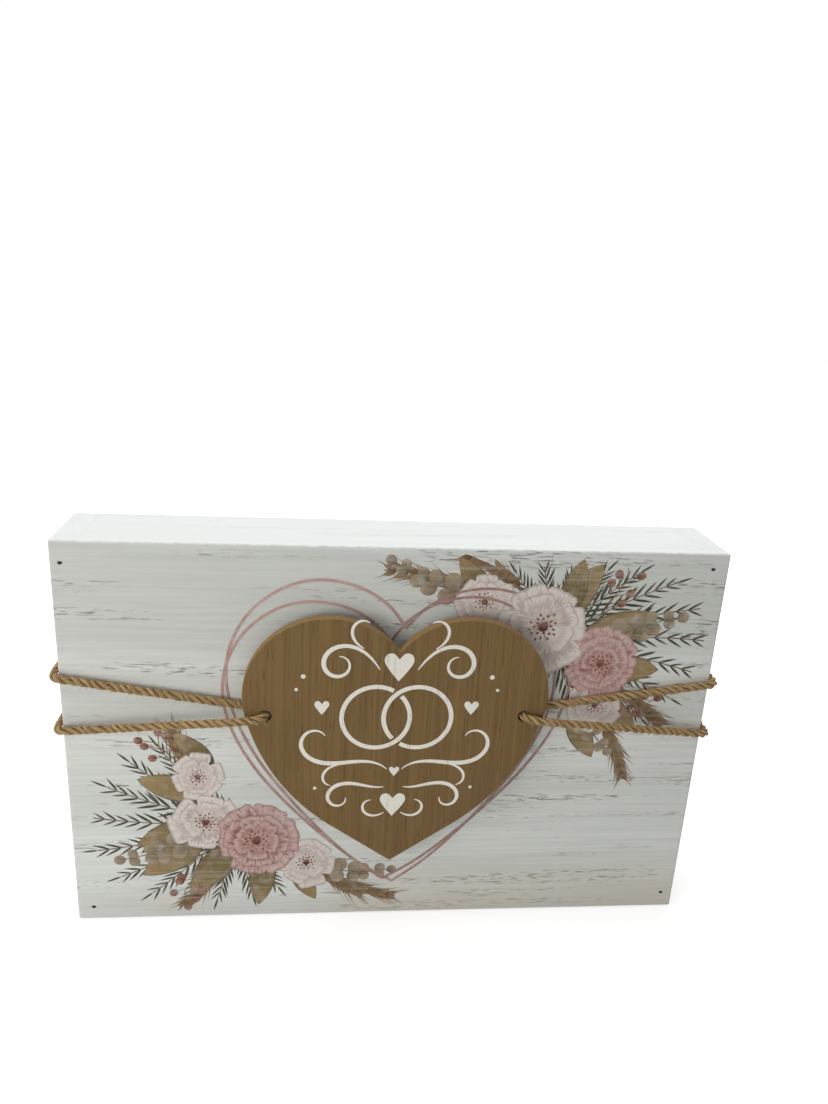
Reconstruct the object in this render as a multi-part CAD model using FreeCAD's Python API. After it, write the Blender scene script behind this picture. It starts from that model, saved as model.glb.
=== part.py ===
"""A free-standing wedding table sign: a shallow wooden block, open at the back, with a heart plaque in front.

Five boards make the block. The face board covers the front, the side boards run its full height, and the top
and bottom boards fit between them. Brads through the face board and the side boards hold it together. A jute
cord goes round the block twice, passes through one hole at each side of the heart and is tied behind in a
square knot, so the heart floats a few millimetres off the face and can rock on the line through its holes.

Millimetres. +X is to the right seen from the front, +Y runs from the front to the back, +Z is up. The origin
is the centre of the block's underside.
"""

import FreeCAD
import Part
import math
import os

from FreeCAD import Vector

# the block
block_width = 300.0
block_height = 195.0
block_depth = 42.0
edge_round = 1.0  # outer edges, sanded and painted over
arris_chamfer = 0.15  # each board's own edges, which show as fine seams where boards meet

# the boards
face_thickness = 6.0
side_thickness = 12.0
rail_thickness = 12.0  # top and bottom boards

# the heart plaque
heart_width = 139.0
heart_height = 126.5
heart_thickness = 4.5
heart_tip_height = 38.5  # above the underside of the block
notch_depth = 16.1  # from the tops of the lobes down to where they meet
flank_angle = 35.0  # degrees between the straight flanks at the tip and the level
flank_length = 35.0
tip_round = 1.2
notch_round = 1.0
plaque_edge_chamfer = 0.4

# the holes in the heart, one near each side
hole_diameter = 5.6
hole_inset = 10.5  # from the heart's side
hole_drop = 9.7  # below its widest part

# the cord
cord_diameter = 4.2
cord_facets = 12  # its round section is drawn with this many flats
cord_gap = 0.2  # between the cord and the block
heart_gap = 0.4  # between the cord and the heart, which leaves it free to rock
knot_gap = 0.86  # between the turns of the knot
# where each strand goes round the block's ends, above the holes or below them
upper_left_rise = 15.0
lower_left_rise = -11.5
upper_right_rise = 13.5
lower_right_rise = -13.5
lift_off_margin = 1.2  # how far past the heart's side the front strands bend down
lift_off_radius = 15.0
tail_length = 26.0

# the brads, flat wire with a narrow head and a chisel point
brad_width = 1.25
brad_thickness = 1.05
brad_head_width = 2.0
brad_head_height = 0.6
brad_sink = 0.15  # heads lie this far under the surface
brad_point = 2.0
brad_tip_thickness = 0.2
brad_clearance = 0.04
face_brad_length = 18.0
side_brad_length = 25.0
# how far each face brad stands in from the nearest end and from the top or bottom, driven by hand
face_brad_insets = {
    (-1, 1): (4.5, 10.0),
    (1, 1): (7.5, 7.5),
    (-1, -1): (7.5, 7.0),
    (1, -1): (6.0, 8.5),
}
side_brad_gap = 2.5  # from the face brads' points back to the first side brads
side_brad_rim_inset = 8.0  # from the block's back to the second side brads

cut_margin = 1.0  # how far a cutting shape runs past the surface that it opens
touching = 0.001  # points nearer than this are one point

cord_radius = cord_diameter / 2
front = -block_depth / 2
back = block_depth / 2
face_back = front + face_thickness
half_heart = heart_width / 2
lobe_radius = notch_depth + half_heart - math.sqrt(2 * notch_depth * half_heart)
lobe_centre_x = half_heart - lobe_radius
lobe_centre_z = heart_tip_height + heart_height - lobe_radius
hole_x = half_heart - hole_inset
hole_height = lobe_centre_z - hole_drop

# where the cord and the heart lie in front of the face
lay = front - cord_gap - cord_radius
heart_back = lay - cord_radius - heart_gap
heart_front = heart_back - heart_thickness
over = heart_front - heart_gap - cord_radius
cord_side = block_width / 2 + cord_gap + cord_radius
cord_back = back + cord_gap + cord_radius


def box(x, y, z):
    """A box from three pairs of limits."""
    size = [abs(b - a) for a, b in (x, y, z)]
    return Part.makeBox(*size, Vector(min(x), min(y), min(z)))


def rounded_block():
    """The whole block's outline, solid, with its outer edges rounded."""
    half = block_width / 2
    block = box((-half, half), (front, back), (0, block_height))
    return block.makeFillet(edge_round, block.Edges)


def board(x, y, z, outline):
    """One board with eased edges, cut to the block's rounded outline."""
    blank = box(x, y, z)
    return blank.makeChamfer(arris_chamfer, blank.Edges).common(outline)


def flat_wire(head, direction, profile, width):
    """Flat wire driven along direction from the point head. Its side view is profile: depths with heights."""
    across = direction.cross(Vector(0, 0, 1))
    side = head - across * (width / 2)
    points = [side + direction * depth + Vector(0, 0, height) for depth, height in profile]
    return Part.Face(Part.makePolygon(points + points[:1])).extrude(across * width)


def bar(start, end, thickness):
    """The side view of a plain stretch of flat wire."""
    half = thickness / 2
    return [(start, -half), (end, -half), (end, half), (start, half)]


def brad(head, direction, length):
    """A brad with its narrow head at the point head and its chisel point towards direction."""
    tip = brad_tip_thickness / 2
    straight = length - brad_point
    shank = bar(brad_head_height, straight, brad_thickness)
    shank[2:2] = [(length, -tip), (length, tip)]
    cap = flat_wire(head, direction, bar(0, brad_head_height, brad_thickness), brad_head_width)
    return cap.fuse(flat_wire(head, direction, shank, brad_width))


def brad_hole(head, direction, length):
    """The hole that a brad of this length makes, from the surface inwards."""
    thickness = brad_thickness + 2 * brad_clearance
    cap = bar(-cut_margin, brad_head_height + brad_clearance, thickness)
    shank = bar(0, length + brad_clearance, thickness)
    cap_hole = flat_wire(head, direction, cap, brad_head_width + 2 * brad_clearance)
    return cap_hole.fuse(flat_wire(head, direction, shank, brad_width + 2 * brad_clearance))


def face_brads():
    """Head points of the four brads that hold the face board, one near each corner."""
    points = []
    for (side, level), (inset_x, inset_z) in face_brad_insets.items():
        x = side * (block_width / 2 - inset_x)
        z = block_height - inset_z if level > 0 else inset_z
        points.append(Vector(x, front + brad_sink, z))
    return points


def side_brads(side):
    """Head points of the four brads driven through one side board into the top and bottom boards."""
    x = side * (block_width / 2 - brad_sink)
    first = front + brad_sink + face_brad_length + side_brad_gap
    second = back - side_brad_rim_inset
    heights = (rail_thickness / 2, block_height - rail_thickness / 2)
    return [Vector(x, y, z) for z in heights for y in (first, second)]


def heart_outline():
    """The heart's closed outline in its front plane: two lobes, a rounded side and a straight flank each."""
    angle = math.radians(flank_angle)
    flank_end = (flank_length * math.cos(angle), heart_tip_height + flank_length * math.sin(angle))

    # the side arc touches the flank at its end and the lobe from inside
    to_lobe_x = lobe_centre_x - flank_end[0]
    to_lobe_z = lobe_centre_z - flank_end[1]
    along = to_lobe_x * math.cos(angle) + to_lobe_z * math.sin(angle)
    off = to_lobe_z * math.cos(angle) - to_lobe_x * math.sin(angle)
    side_radius = (along**2 + off**2 - lobe_radius**2) / (2 * (off - lobe_radius))
    side_x = flank_end[0] - side_radius * math.sin(angle)
    side_z = flank_end[1] + side_radius * math.cos(angle)
    join_turn = math.atan2(lobe_centre_z - side_z, lobe_centre_x - side_x)
    flank_turn = angle - math.pi / 2
    notch_z = lobe_centre_z + math.sqrt(lobe_radius**2 - lobe_centre_x**2)

    def at(side, x, z):
        return Vector(side * x, heart_front, z)

    def on_circle(x, z, radius, turn):
        return x + radius * math.cos(turn), z + radius * math.sin(turn)

    join = on_circle(lobe_centre_x, lobe_centre_z, lobe_radius, join_turn)
    side_middle = on_circle(side_x, side_z, side_radius, (join_turn + flank_turn) / 2)
    lobe_top = on_circle(lobe_centre_x, lobe_centre_z, lobe_radius, math.pi / 2)
    edges = []
    for side in (1, -1):
        edges.append(Part.Arc(at(side, 0, notch_z), at(side, *lobe_top), at(side, *join)).toShape())
        edges.append(Part.Arc(at(side, *join), at(side, *side_middle), at(side, *flank_end)).toShape())
        edges.append(Part.LineSegment(at(side, *flank_end), at(side, 0, heart_tip_height)).toShape())
    return Part.Wire(Part.__sortEdges__(edges))


def heart_plaque():
    """The heart with its two cord holes, its tip and notch softened and every edge eased."""
    plaque = Part.Face(heart_outline()).extrude(Vector(0, heart_thickness, 0))

    def on_centre_line(upper):
        middles = [(edge, edge.CenterOfMass) for edge in plaque.Edges]
        return [edge for edge, m in middles if abs(m.x) < touching and (m.z > hole_height) == upper]

    plaque = plaque.makeFillet(tip_round, on_centre_line(False))
    plaque = plaque.makeFillet(notch_round, on_centre_line(True))
    for side in (-1, 1):
        start = Vector(side * hole_x, heart_front - cut_margin, hole_height)
        length = heart_thickness + 2 * cut_margin
        plaque = plaque.cut(Part.makeCylinder(hole_diameter / 2, length, start, Vector(0, 1, 0)))
    broad = [face for face in plaque.Faces if abs(face.normalAt(0, 0).y) > 1 - touching]
    return plaque.makeChamfer(plaque_edge_chamfer, [edge for face in broad for edge in face.Edges])


def knot_half(side):
    """One half of the square knot: the cord comes in from that side, hooks round the other and goes back."""
    pitch = cord_diameter + knot_gap
    # across, up and out of the block, in pitches; the two halves are alike, turned about the upright
    points = [
        (-3.3, 0.5, 0.0),
        (-1.25, 0.5, 0.0),
        (0.0, 1.1, 0.66),
        (1.45, 1.75, 0.05),
        (2.2, 0.85, -1.12),
        (2.2, -0.85, -1.12),
        (1.45, -1.75, 0.05),
        (0.0, -1.1, 0.66),
        (-1.25, -0.5, 0.0),
        (-2.9, -0.58, 0.05),
    ]
    centre = Vector(0, cord_back, hole_height + (lower_left_rise + lower_right_rise) / 2)
    return [centre + Vector(-side * u, -side * w, v) * pitch for u, v, w in points]


def knot_tail(start, side):
    """The free end that leaves the knot and droops."""
    steps = [(0.34, -0.16, 0.02), (0.68, -0.48, 0.03), (0.86, -0.98, 0.0)]
    return [start + Vector(side * x, y, z) * tail_length for x, z, y in steps]


def cord_route():
    """Every corner of the cord's route with its radius, from one free end round the block to the other.

    None leaves the radius to the lengths of the two runs beside the corner.
    """
    round_edge = edge_round + cord_gap + cord_radius
    round_rim = plaque_edge_chamfer + heart_gap + cord_radius
    lift_off = half_heart + lift_off_margin

    left_half, right_half = knot_half(-1), knot_half(1)
    route = [(p, None) for p in reversed(knot_tail(left_half[-1], -1))]
    route += [(p, None) for p in reversed(left_half)]

    def one_end(side, lower_rise, upper_rise):
        """From the lower strand at the back, round that end and through the heart, to the upper strand."""
        lower = hole_height + lower_rise
        upper = hole_height + upper_rise
        lift_rise = lower_rise * (lift_off - hole_x) / (cord_side - hole_x)
        return [
            (Vector(side * cord_side, cord_back, lower), round_edge),
            (Vector(side * cord_side, lay, lower), round_edge),
            (Vector(side * lift_off, over, hole_height + lift_rise), lift_off_radius),
            (Vector(side * hole_x, over, hole_height), round_rim),
            (Vector(side * hole_x, lay, hole_height), round_rim),
            (Vector(side * cord_side, lay, upper), round_edge),
            (Vector(side * cord_side, cord_back, upper), round_edge),
        ]

    route += one_end(-1, lower_left_rise, upper_left_rise)
    route += reversed(one_end(1, lower_right_rise, upper_right_rise))
    route += [(p, None) for p in right_half]
    route += [(p, None) for p in knot_tail(right_half[-1], 1)]
    return route


def rounded_path(route):
    """Straight runs joined by tangent arcs through a route. Returns its edges and the radii of its arcs."""
    points = [p for p, _ in route]
    edges, radii = [], []
    start = points[0]
    for before, (corner, radius), after in zip(points, route[1:-1], points[2:]):
        inward, outward = before - corner, after - corner
        half_turn = (math.pi - inward.getAngle(outward)) / 2
        if radius is None:
            radius = 0.45 * min(inward.Length, outward.Length) / math.tan(half_turn)
        reach = radius * math.tan(half_turn)
        arc_start = corner + inward.normalize() * reach
        arc_end = corner + outward.normalize() * reach
        bisector = (inward + outward).normalize()
        middle = corner + bisector * (radius / math.cos(half_turn) - radius)
        edges.append(Part.LineSegment(start, arc_start).toShape())
        edges.append(Part.Arc(arc_start, middle, arc_end).toShape())
        radii.append(radius)
        start = arc_end
    edges.append(Part.LineSegment(start, points[-1]).toShape())
    return edges, radii


def least_gap(edges, diameter):
    """The least gap between two stretches of a tube that lie well apart along it."""
    step = diameter / 4
    apart = int(3.5 * diameter / step)
    points = []
    for edge in edges:
        points += edge.discretize(Number=max(2, int(edge.Length / step) + 1))[:-1]
    pairs = ((p, q) for i, p in enumerate(points) for q in points[i + apart:])
    return min((p - q).Length for p, q in pairs) - diameter


def jute_cord():
    """The whole cord as one tube from free end to free end."""
    edges, radii = rounded_path(cord_route())
    path = Part.Wire(edges)
    start = edges[0].valueAt(edges[0].FirstParameter)
    direction = edges[0].tangentAt(edges[0].FirstParameter)
    across = direction.cross(Vector(0, 1, 0)).normalize()
    up = direction.cross(across)
    turns = [2 * math.pi * i / cord_facets for i in range(cord_facets + 1)]
    rim = [start + (across * math.cos(t) + up * math.sin(t)) * cord_radius for t in turns]
    section = Part.makePolygon(rim)
    cord = path.makePipeShell([section], True, False)
    expected = Part.Face(section).Area * path.Length
    print("cord: length %.1f, volume %.1f, section times length %.1f" % (path.Length, cord.Volume, expected))
    print("cord: radii", " ".join("%.1f" % r for r in radii))
    print("cord: least gap to itself %.2f" % least_gap(edges, cord_diameter))
    return cord


def main():
    os.makedirs("parts", exist_ok=True)
    outline = rounded_block()
    half = block_width / 2
    inner = half - side_thickness
    frame_y = (face_back, back)
    parts = {
        "face_board": board((-half, half), (front, face_back), (0, block_height), outline),
        "left_board": board((-half, -inner), frame_y, (0, block_height), outline),
        "right_board": board((inner, half), frame_y, (0, block_height), outline),
        "top_board": board((-inner, inner), frame_y, (block_height - rail_thickness, block_height), outline),
        "bottom_board": board((-inner, inner), frame_y, (0, rail_thickness), outline),
    }

    driven = {
        "face_brads": [(head, Vector(0, 1, 0), face_brad_length) for head in face_brads()],
        "side_brads": [(head, Vector(-s, 0, 0), side_brad_length) for s in (-1, 1) for head in side_brads(s)],
    }
    holes = [brad_hole(*brad_place) for places in driven.values() for brad_place in places]
    parts = {name: shape.cut(holes) for name, shape in parts.items()}
    for name, places in driven.items():
        parts[name] = Part.makeCompound([brad(*brad_place) for brad_place in places])

    parts["heart_plaque"] = heart_plaque()
    parts["jute_cord"] = jute_cord()

    for name, shape in parts.items():
        shape.exportStep("parts/%s.step" % name)
        print("%s: %d solids, valid %s" % (name, len(shape.Solids), shape.isValid()))


main()
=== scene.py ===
"""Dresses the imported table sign: painted boards, a printed spray, a stained heart and its jute cord."""
import math
import random
import bmesh
import bpy
from bpy.props import FloatProperty, FloatVectorProperty, IntProperty, PointerProperty
from mathutils import Matrix, Vector


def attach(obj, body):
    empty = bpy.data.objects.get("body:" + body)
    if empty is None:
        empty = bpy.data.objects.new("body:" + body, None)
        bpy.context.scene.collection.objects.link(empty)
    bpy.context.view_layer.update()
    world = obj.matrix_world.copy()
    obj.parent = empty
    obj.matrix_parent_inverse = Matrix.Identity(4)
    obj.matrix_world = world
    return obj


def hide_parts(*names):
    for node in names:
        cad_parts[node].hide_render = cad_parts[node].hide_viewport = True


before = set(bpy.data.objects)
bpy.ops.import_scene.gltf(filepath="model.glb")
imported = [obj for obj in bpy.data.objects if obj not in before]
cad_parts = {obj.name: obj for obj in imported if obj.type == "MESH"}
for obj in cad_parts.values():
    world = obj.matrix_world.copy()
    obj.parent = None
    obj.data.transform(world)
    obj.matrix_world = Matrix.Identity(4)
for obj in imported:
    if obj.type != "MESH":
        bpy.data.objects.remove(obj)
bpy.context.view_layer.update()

bl_info = {
    "name": "Heart Table Sign",
    "version": (1, 0, 0),
    "blender": (4, 5, 0),
    "location": "3D View > Sidebar > Table Sign",
    "description": "Dresses a whitewashed block sign with a heart plaque tied on by a jute cord",
    "category": "Object",
}

MM = 0.001

# The block's outside, in metres.
BLOCK_WIDTH = 0.300
BLOCK_DEPTH = 0.042
BLOCK_HEIGHT = 0.195

# The camera that fits the photograph: its focal length is in the photograph's pixels.
PHOTO_HEIGHT = 1104
FOCAL_PIXELS = 870
SENSOR = 36
CAMERA_PLACE = (-0.03521, -0.37995, 0.31411)
CAMERA_RIGHT = (0.99428, -0.09285, 0.05273)
CAMERA_UP = (-0.02018, 0.32155, 0.94667)

# Depths of print and paint, in millimetres: the first layer of the sprays, the heart lines and the ornament.
SPRAY_DEPTH = -21.004
LINE_DEPTHS = (-21.14, -21.135)
ORNAMENT_DEPTH = -30.31
# How far each layer of the sprays, and each crossing stroke of the ornament, lies in front of the last.
LAYER_STEP = 0.0016
STROKE_STEP = 0.01

# Where the sprays end, in millimetres: out from the middle, and low and high above the block's underside.
SPRAY_SIDE = 147
SPRAY_BOTTOM = 3
SPRAY_TOP = 192

STEM_STEPS = 12  # straight bits in a bent stem

# The cord's line from its left tail to its right tail, in metres.
CORD_ROUTE = [
    # left tail and the left half of the square knot
    (-0.03703, 0.02355, 0.07609),
    (-0.03235, 0.02433, 0.08909),
    (-0.02351, 0.02407, 0.09741),
    (-0.01467, 0.02355, 0.10157),
    (-0.00633, 0.02330, 0.10198),
    (0.00000, 0.02664, 0.09894),
    (0.00734, 0.02355, 0.09565),
    (0.01113, 0.01763, 0.10021),
    (0.01113, 0.01763, 0.10881),
    (0.00734, 0.02355, 0.11336),
    (0.00000, 0.02664, 0.11007),
    (-0.00633, 0.02330, 0.10704),
    (-0.01670, 0.02330, 0.10704),
    (-0.02700, 0.02330, 0.10692),
    # round the left end, low, and over the heart into its left hole
    (-0.14430, 0.02330, 0.10559),
    (-0.15230, 0.02330, 0.10550),
    (-0.15230, 0.01530, 0.10550),
    (-0.15230, -0.01530, 0.10550),
    (-0.15230, -0.02330, 0.10550),
    (-0.14441, -0.02422, 0.10647),
    (-0.08056, -0.03165, 0.11434),
    (-0.07070, -0.03280, 0.11556),
    (-0.05900, -0.03280, 0.11700),
    # behind the heart and round the left end again, higher
    (-0.05900, -0.02330, 0.11700),
    (-0.06492, -0.02330, 0.11795),
    (-0.14440, -0.02330, 0.13073),
    (-0.15230, -0.02330, 0.13200),
    (-0.15230, -0.01530, 0.13200),
    (-0.15230, 0.01530, 0.13200),
    (-0.15230, 0.02330, 0.13200),
    (-0.14430, 0.02330, 0.13196),
    # across the back, round the right end and behind the heart into its right hole
    (0.14430, 0.02330, 0.13054),
    (0.15230, 0.02330, 0.13050),
    (0.15230, 0.01530, 0.13050),
    (0.15230, -0.01530, 0.13050),
    (0.15230, -0.02330, 0.13050),
    (0.14438, -0.02330, 0.12935),
    (0.06494, -0.02330, 0.11786),
    (0.05900, -0.02330, 0.11700),
    # over the heart and round the right end, low
    (0.05900, -0.03280, 0.11700),
    (0.07070, -0.03280, 0.11531),
    (0.08053, -0.03166, 0.11389),
    (0.14443, -0.02422, 0.10464),
    (0.15230, -0.02330, 0.10350),
    (0.15230, -0.01530, 0.10350),
    (0.15230, 0.01530, 0.10350),
    (0.15230, 0.02330, 0.10350),
    (0.14430, 0.02330, 0.10371),
    # the right half of the square knot and the right tail
    (0.02700, 0.02330, 0.10677),
    (0.01670, 0.02330, 0.10704),
    (0.00633, 0.02330, 0.10704),
    (0.00000, 0.01996, 0.11007),
    (-0.00734, 0.02305, 0.11336),
    (-0.01113, 0.02897, 0.10881),
    (-0.01113, 0.02897, 0.10021),
    (-0.00734, 0.02305, 0.09565),
    (0.00000, 0.01996, 0.09894),
    (0.00633, 0.02330, 0.10198),
    (0.01467, 0.02305, 0.10157),
    (0.02351, 0.02357, 0.09741),
    (0.03235, 0.02383, 0.08909),
    (0.03703, 0.02305, 0.07609),
]

# The middles of the brad heads: one near each corner of the face, and four in each end of the block.
BRAD_HEADS = [
    (-0.1455, -0.021, 0.185), (0.1425, -0.021, 0.1875), (-0.1425, -0.021, 0.007), (0.144, -0.021, 0.0085)
]
for end_x in (-BLOCK_WIDTH / 2, BLOCK_WIDTH / 2):
    for height in (0.006, 0.189):
        for depth in (-0.00035, 0.013):
            BRAD_HEADS.append((end_x, depth, height))

# Butt joints in the glued-up boards, faint under the paint: place along the board, lower end and upper end.
BUTT_JOINTS = [(-0.0190, 0.0125, 0.0245), (0.0670, 0.1875, 0.1960), (-0.0840, 0.1935, 0.1960)]

# Right half of the printed heart lines, from the notch round to the tip, in millimetres.
HALF_HEART = [
    (0, 155.5), (9, 166.5), (23, 174.5), (40, 177), (56, 172.5), (70, 161), (78.5, 145), (80.5, 127),
    (76, 107), (65.5, 86), (51, 66), (34, 46.5), (16.5, 29.5), (0, 17.5),
]

# Right half of a small painted heart, from its notch round to its tip, in millimetres.
SMALL_HEART = [(0, 4.6), (2.6, 7.4), (5.6, 6.9), (6.6, 3.6), (4.2, -0.8), (0, -6.2)]

# One loose fibre, a metre long: how far each ring of it is bent over and up, and its radius.
FIBRE_RINGS = ((0.0, 0.0, 0.024), (0.05, 0.4, 0.021), (0.16, 0.75, 0.015))
FIBRE_TIP = (0.34, 0.0, 1.0)


def shade(red, green, blue):
    """A colour as it is seen on screen, 0 to 255, in the linear numbers that shaders take."""
    linear = []
    for part in (red, green, blue):
        part = part / 255
        linear.append(part / 12.92 if part <= 0.04045 else ((part + 0.055) / 1.055) ** 2.4)
    return (linear[0], linear[1], linear[2], 1.0)


def size(name, description, default):
    return FloatProperty(name=name, description=description, default=default, unit="LENGTH", precision=5)


def power(name, description, default):
    return FloatProperty(name=name, description=description, default=default, min=0, unit="POWER")


def colour(name, description, default):
    return FloatVectorProperty(
        name=name, description=description, default=default, size=4, subtype="COLOR", min=0, max=1
    )


class SIGN_PG_cord(bpy.types.PropertyGroup):
    """Sizes and colours of the jute cord"""
    diameter: size("Diameter", "Thickness over the three strands", 4.2 * MM)
    lay_length: size("Lay Length", "Length of one full turn of a strand", 12.0 * MM)
    step: size("Step", "Distance between the cord's cross-sections", 0.85 * MM)
    fuzz_density: FloatProperty(
        name="Fuzz Density", description="Loose fibres per square metre of cord", default=230000, min=0
    )
    fuzz_length: size("Fuzz Length", "Length of a loose fibre", 2.9 * MM)
    straw: colour("Straw", "Main colour of the fibres", shade(184, 152, 104))
    # husk is mixed through the fibres by noise; the grooves get a painted shade of their own in jute()
    husk: colour("Husk", "Dark colour in the grooves", shade(128, 99, 60))


class SIGN_PG_wood(bpy.types.PropertyGroup):
    """Colours of the painted boards and of the heart"""
    whitewash: colour("Whitewash", "Paint on the block", shade(229, 231, 225))
    greywash: colour("Grey Wash", "Thin paint where the grain shows", shade(203, 205, 198))
    fleck: colour("Fleck", "Pores left dark by the paint", shade(112, 101, 90))
    bare_wood: colour("Bare Wood", "Unpainted wood inside the block", shade(205, 176, 134))
    stain: colour("Stain", "Brown stain on the heart", shade(121, 95, 53))
    dark_stain: colour("Dark Stain", "Stain gathered in the heart's grain", shade(100, 76, 40))
    brad: colour("Brad", "Darkened steel of the brads", shade(34, 30, 28))


class SIGN_PG_print(bpy.types.PropertyGroup):
    """Sizes and colours of the printed spray and the painted ornament"""
    line_width: size("Line Width", "Width of the printed heart lines", 1.3 * MM)
    line: colour("Line", "Colour of the printed heart lines", shade(146, 113, 105))
    blush: colour("Blush", "Pale blossoms", shade(212, 198, 190))
    rose: colour("Rose", "Deep blossoms", shade(178, 126, 122))
    crimson: colour("Crimson", "Heart of a blossom", shade(110, 34, 44))
    olive: colour("Olive", "Broad leaves", shade(114, 100, 64))
    pine: colour("Pine", "Fern fronds", shade(54, 56, 45))
    tan: colour("Tan", "Ears and stems", shade(112, 87, 60))
    rust: colour("Rust", "Berries", shade(114, 68, 48))
    chalk: colour("Chalk", "White paint on the heart", shade(240, 236, 224))


class SIGN_PG_stage(bpy.types.PropertyGroup):
    """Light and floor round the sign"""
    skylight: power("Skylight", "Wide lamp overhead", 7.0)
    window: power("Window", "Lamp low on the left", 3.9)
    back_light: power("Back Light", "Lamp behind", 3.4)
    daylight: FloatProperty(name="Daylight", description="Even light from all round", default=0.33, min=0)
    floor: colour("Floor", "Colour of the floor", shade(206, 206, 206))


class SIGN_PG_sign(bpy.types.PropertyGroup):
    """All that a user may change on the table sign"""
    cord: PointerProperty(type=SIGN_PG_cord)
    wood: PointerProperty(type=SIGN_PG_wood)
    print: PointerProperty(type=SIGN_PG_print)
    stage: PointerProperty(type=SIGN_PG_stage)
    seed: IntProperty(name="Seed", description="Start of everything scattered", default=7, min=0)


def add(tree, kind, sockets=None, **settings):
    """A new node with its settings and the values or links of its sockets."""
    made = tree.nodes.new(kind)
    for name, value in settings.items():
        setattr(made, name, value)
    for name, value in (sockets or {}).items():
        socket = made.inputs[name]
        if isinstance(value, bpy.types.NodeSocket):
            tree.links.new(value, socket)
        else:
            socket.default_value = value
    return made


def sums(tree, operation, first, second=0.0):
    return add(tree, "ShaderNodeMath", {0: first, 1: second}, operation=operation).outputs[0]


def plus(tree, first, second):
    return sums(tree, "ADD", first, second)


def less(tree, first, second):
    return sums(tree, "SUBTRACT", first, second)


def times(tree, first, second):
    return sums(tree, "MULTIPLY", first, second)


def vector(tree, operation, first, second=(0.0, 0.0, 0.0)):
    """Vector Math on two vectors, or on a vector and the number that scales it."""
    sockets = {0: first, "Scale" if operation == "SCALE" else 1: second}
    made = add(tree, "ShaderNodeVectorMath", sockets, operation=operation)
    is_number = operation in ("DOT_PRODUCT", "DISTANCE", "LENGTH")
    return made.outputs["Value" if is_number else "Vector"]


def combined(tree, x, y, z):
    return add(tree, "ShaderNodeCombineXYZ", {0: x, 1: y, 2: z}).outputs[0]


def separated(tree, place):
    return add(tree, "ShaderNodeSeparateXYZ", {0: place}).outputs


def blend(tree, factor, first, second):
    made = add(tree, "ShaderNodeMix", {0: factor, 6: first, 7: second}, data_type="RGBA")
    return made.outputs[2]


def grade(tree, value, low, high, bottom=0.0, top=1.0):
    """Maps low to high on bottom to top, smoothly and without going over."""
    sockets = {"Value": value, "From Min": low, "From Max": high, "To Min": bottom, "To Max": top}
    made = add(tree, "ShaderNodeMapRange", sockets, interpolation_type="SMOOTHSTEP")
    return made.outputs[0]


def noise(tree, place, scale, detail=3.0, roughness=0.5, distortion=0.0):
    sockets = {
        "Vector": place, "Scale": scale, "Detail": detail, "Roughness": roughness, "Distortion": distortion
    }
    return add(tree, "ShaderNodeTexNoise", sockets).outputs[0]


def noise_along(tree, run):
    """Noise that depends on one number alone."""
    sockets = {"W": run, "Scale": 1.0, "Detail": 2.0}
    return add(tree, "ShaderNodeTexNoise", sockets, noise_dimensions="1D").outputs[0]


def streaks(tree, place, scale, detail, roughness, distortion=0.0):
    """Noise with its own scale along each axis: drawn out where the scale is small."""
    drawn_out = add(tree, "ShaderNodeMapping", {"Vector": place, "Scale": scale}).outputs[0]
    return noise(tree, drawn_out, 1.0, detail, roughness, distortion)


def attribute(tree, name):
    return add(tree, "ShaderNodeAttribute", attribute_name=name).outputs["Fac"]


def new_finish(name):
    """A material with its tree, its shader and the piece's own coordinates."""
    finish = bpy.data.materials.new(name)
    finish.use_nodes = True
    tree = finish.node_tree
    shader = tree.nodes["Principled BSDF"]
    place = add(tree, "ShaderNodeTexCoord").outputs["Object"]
    return finish, tree, shader, place


def relief(tree, shader, height, distance):
    bump = add(tree, "ShaderNodeBump", {"Height": height, "Distance": distance, "Strength": 1.0})
    tree.links.new(bump.outputs[0], shader.inputs["Normal"])


def cover(tree, shader, tone, rough, gloss=0.5):
    """Joins the colour and the roughness to the shader and sets how strongly it shines."""
    tree.links.new(tone, shader.inputs["Base Color"])
    tree.links.new(rough, shader.inputs["Roughness"])
    shader.inputs["Specular IOR Level"].default_value = gloss


def low_stains(tree, place, up, paint):
    """Warm stains in the paint, low down on the block."""
    patches = grade(tree, noise(tree, place, 11.0, 3.0, 0.6), 0.42, 0.6)
    low = grade(tree, up, 4 * MM, 34 * MM, 0.48, 0.0)
    return blend(tree, times(tree, patches, low), paint, shade(222, 209, 190))


def butt_joints(tree, axes, paint):
    """Hair-thin upright seams under the paint."""
    soft_end = 0.4 * MM
    for x, bottom, top in BUTT_JOINTS:
        beside = sums(tree, "ABSOLUTE", less(tree, axes[0], x))
        above = grade(tree, axes[2], bottom, bottom + soft_end)
        within = times(tree, above, grade(tree, axes[2], top, top + soft_end, 1.0, 0.0))
        seam = times(tree, grade(tree, beside, 0.1 * MM, 0.6 * MM, 0.32, 0.0), within)
        paint = blend(tree, seam, paint, shade(150, 146, 138))
    return paint


def brad_rings(tree, place, paint):
    """A dark ring round each brad's head."""
    for head in BRAD_HEADS:
        away = vector(tree, "DISTANCE", place, head)
        ring = grade(tree, away, 0.74 * MM, 0.92 * MM, 0.95, 0.0)
        paint = blend(tree, ring, paint, shade(30, 26, 24))
    return paint


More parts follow.
